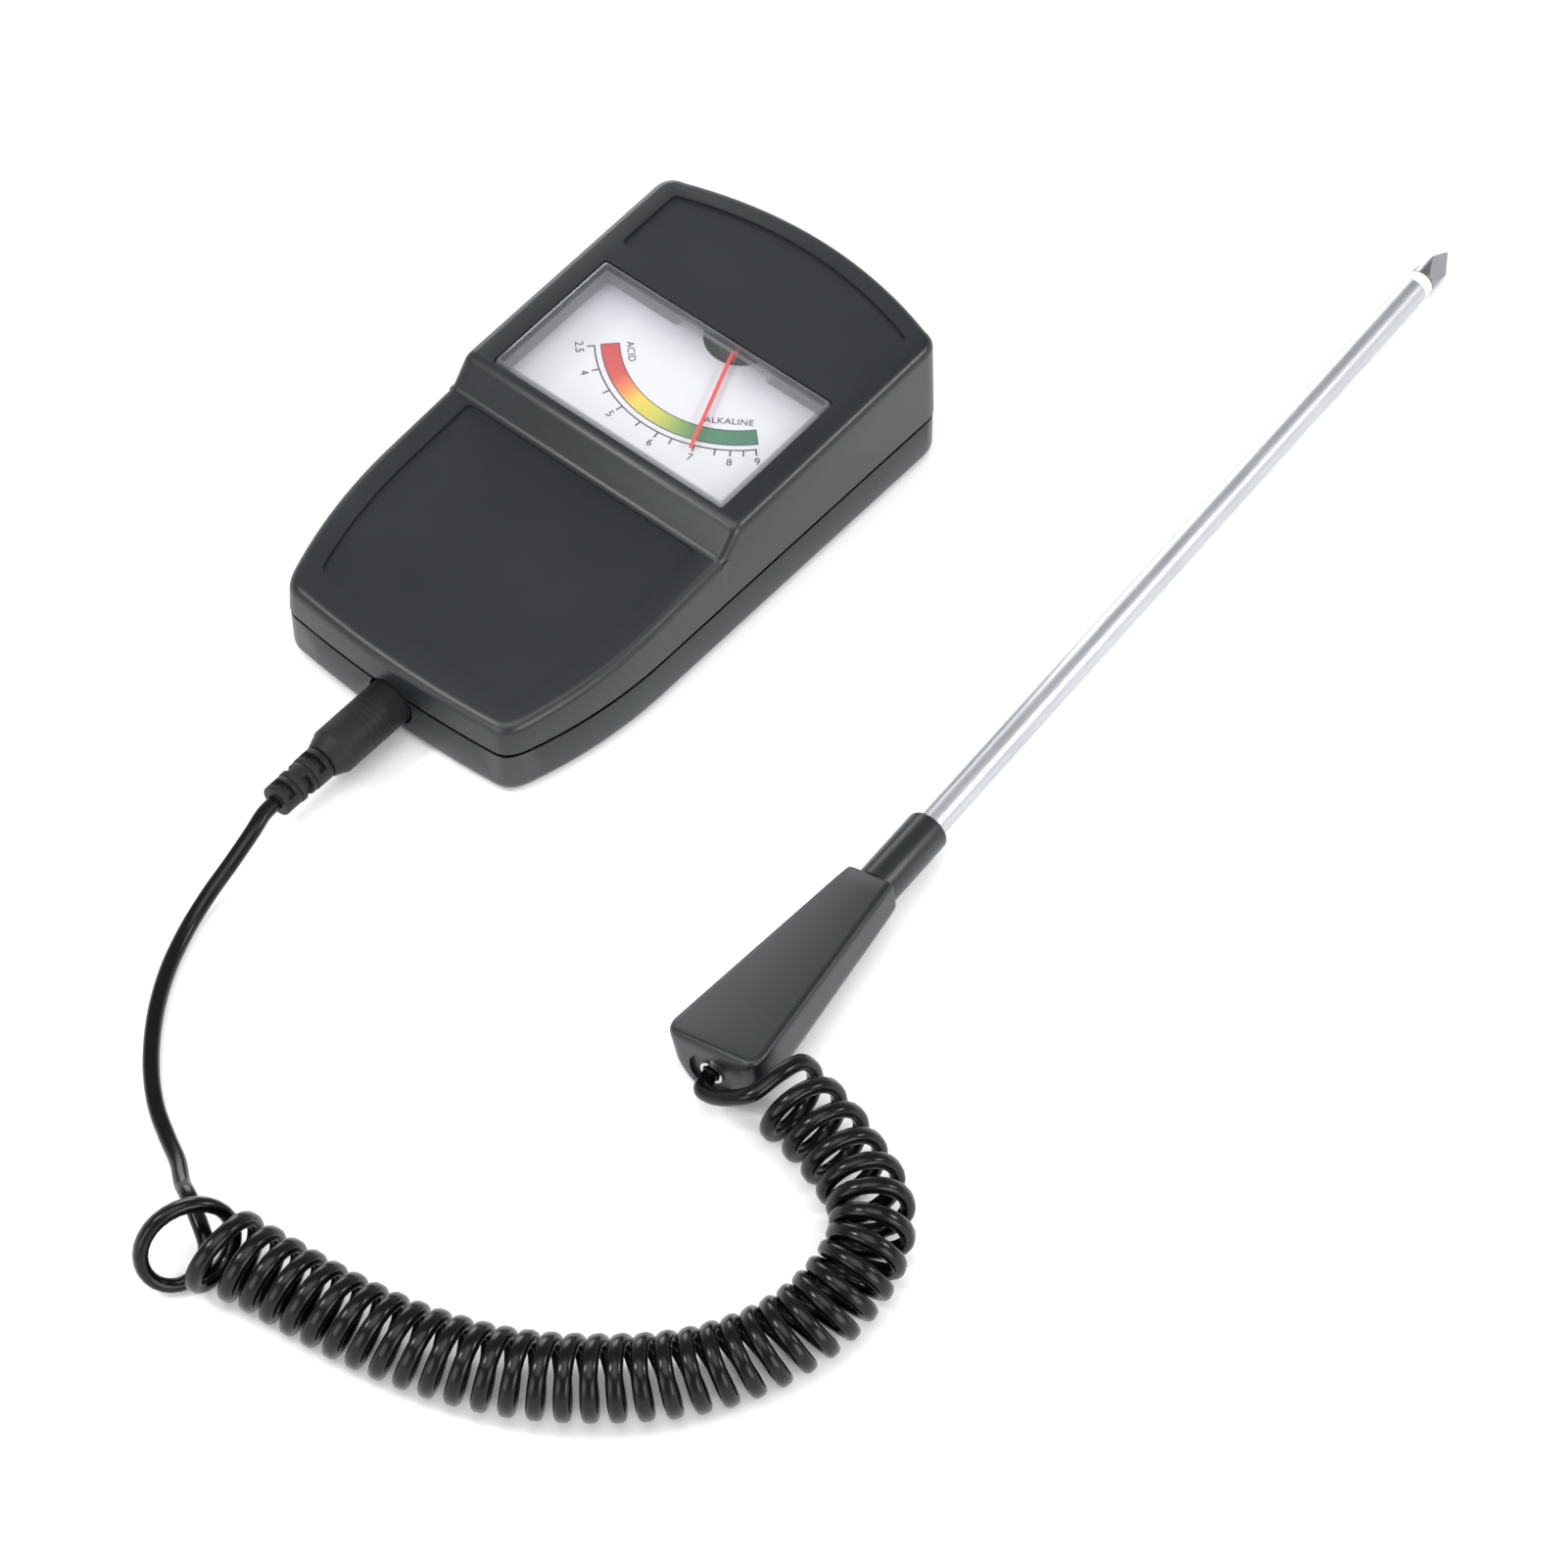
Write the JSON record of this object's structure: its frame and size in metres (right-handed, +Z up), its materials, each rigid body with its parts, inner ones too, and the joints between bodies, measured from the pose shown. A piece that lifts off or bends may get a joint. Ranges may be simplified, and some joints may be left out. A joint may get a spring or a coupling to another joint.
{
  "type": "soil ph meter",
  "caption": "Analogue soil acidity meter: sloping dial case with a moving needle, a plug-in curly lead and a hand-held metal rod probe.",
  "frame": {"origin": "centre of the case's flat underside, on the surface it lies on", "axes": "+Z up out of the dial, +Y along the case away from the lead socket, +X to the reader's right"},
  "size_m": [0.2085, 0.3763, 0.0355],
  "materials": {
    "case_plastic": "fine-grained matt charcoal plastic",
    "black_plastic": "moulded black plastic",
    "plug_vinyl": "satin black moulded vinyl",
    "cord_vinyl": "glossy black vinyl cord jacket",
    "red_vinyl": "red wire insulation",
    "white_plastic": "white insulator",
    "dial_print": "pale printed dial card",
    "pointer_red": "red lacquered needle",
    "clear_window": "clear polished acrylic",
    "rod_metal": "bright drawn rod",
    "tip_metal": "ground metal tip",
    "nickel": "bright nickel plate",
    "steel": "plain steel",
    "brass": "turned brass",
    "copper": "lacquered copper winding",
    "soft_iron": "soft iron"
  },
  "bodies": {
    "meter": {"front_cover": "case_plastic", "rear_cover": "case_plastic", "case_screw_1": "steel", "case_screw_2": "steel", "case_screw_3": "steel", "case_screw_4": "steel", "stop_pin_left": "steel", "stop_pin_right": "steel", "frame_screw_1": "steel", "frame_screw_2": "steel", "meter_lens": "clear_window", "dial_plate": "dial_print", "movement_frame": "black_plastic", "jack_body": "black_plastic", "wire_ground": "black_plastic", "yoke_ring": "soft_iron", "core_magnet": "soft_iron", "core_bracket_far": "brass", "core_bracket_near": "brass", "bridge_post_left": "brass", "bridge_post_right": "brass", "front_bridge": "brass", "jewel_screw_front": "brass", "jewel_screw_rear": "brass", "movement_lug_signal": "nickel", "movement_lug_ground": "nickel", "jack_bushing": "nickel", "jack_lug_signal": "nickel", "jack_lug_ground": "nickel", "wire_signal": "red_vinyl"},
    "pointer": {"pointer": "pointer_red", "pointer_counterweight": "brass", "moving_coil": "copper", "pivot_front": "steel", "pivot_rear": "steel", "hairspring_front": "brass", "hairspring_rear": "brass"},
    "lead_probe": {"plug_body": "plug_vinyl", "plug_strain_relief": "plug_vinyl", "plug_sleeve": "nickel", "plug_insulator": "black_plastic", "plug_tip": "nickel", "lead_straight": "cord_vinyl", "lead_coil": "cord_vinyl", "lead_end": "cord_vinyl", "handle_upper": "case_plastic", "handle_lower": "case_plastic", "handle_screw": "steel", "probe_collar": "case_plastic", "probe_tube": "rod_metal", "inner_sleeve": "white_plastic", "tip_insulator": "white_plastic", "probe_tip": "tip_metal", "inner_conductor": "tip_metal", "ground_lug": "nickel", "cord_eyelet": "nickel", "cord_clamp": "black_plastic", "handle_wire_signal": "red_vinyl", "handle_wire_ground": "black_plastic"}
  },
  "joints": [
    {"name": "needle_turn", "type": "hinge", "parent": "meter", "child": "pointer", "pos_m": [0.0019, 0.04, 0.02926], "axis": [0, -0.04, 0.9992], "range_deg": [-70, 26], "stiffness_Nm_per_rad": 0.0002},
    {"name": "plug_pull", "type": "slide", "parent": "meter", "child": "lead_probe", "axis": [0, -1, 0], "range_m": [0, 0.016]}
  ]
}
